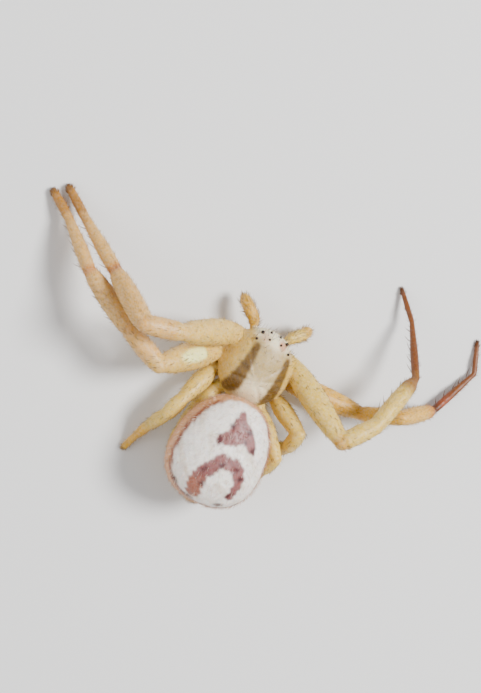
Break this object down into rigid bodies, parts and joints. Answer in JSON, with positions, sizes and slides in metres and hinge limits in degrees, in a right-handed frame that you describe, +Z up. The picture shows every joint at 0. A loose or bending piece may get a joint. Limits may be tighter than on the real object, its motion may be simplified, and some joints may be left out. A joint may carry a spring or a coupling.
{
  "type": "crab spider",
  "caption": "Still life-size model of a pale crab spider with long front legs spread to both sides and a white abdomen with maroon chevrons.",
  "frame": {"origin": "on the floor, under the centre of the bounding box", "axes": "+Z up from the floor, the head faces -Y, the spider's left side is +X, and the span of the front legs along X is the longest"},
  "size_m": [0.0186, 0.0112, 0.0044],
  "materials": {
    "carapace": "satin",
    "abdomen": "matte",
    "legs": "satin",
    "legs_left_front": "satin",
    "feet_right_front": "satin",
    "eyes": "glossy"
  },
  "bodies": {
    "root": {"abdomen": "abdomen", "cephalothorax": "carapace", "eye_front_middle_left": "eyes", "eye_front_middle_right": "eyes", "eye_front_outer_left": "eyes", "eye_front_outer_right": "eyes", "eye_rear_middle_left": "eyes", "eye_rear_middle_right": "eyes", "eye_rear_outer_left": "eyes", "eye_rear_outer_right": "eyes", "jaw_left": "legs", "jaw_right": "legs", "leg_left_1_coxa": "legs", "leg_left_1_femur": "legs_left_front", "leg_left_1_foot": "legs_left_front", "leg_left_1_tibia": "legs_left_front", "leg_left_2_coxa": "legs", "leg_left_2_femur": "legs_left_front", "leg_left_2_foot": "legs_left_front", "leg_left_2_tibia": "legs_left_front", "leg_left_3_coxa": "legs", "leg_left_3_femur": "legs", "leg_left_3_foot": "legs", "leg_left_3_tibia": "legs", "leg_left_4_coxa": "legs", "leg_left_4_femur": "legs", "leg_left_4_foot": "legs", "leg_left_4_tibia": "legs", "leg_right_1_coxa": "legs", "leg_right_1_femur": "legs", "leg_right_1_foot": "feet_right_front", "leg_right_1_tibia": "legs", "leg_right_2_coxa": "legs", "leg_right_2_femur": "legs", "leg_right_2_foot": "feet_right_front", "leg_right_2_tibia": "legs", "leg_right_3_coxa": "legs", "leg_right_3_femur": "legs", "leg_right_3_foot": "legs", "leg_right_3_tibia": "legs", "leg_right_4_coxa": "legs", "leg_right_4_femur": "legs", "leg_right_4_foot": "legs", "leg_right_4_tibia": "legs", "palp_left": "legs", "palp_right": "legs", "spinnerets": "legs", "waist": "legs"}
  },
  "joints": []
}
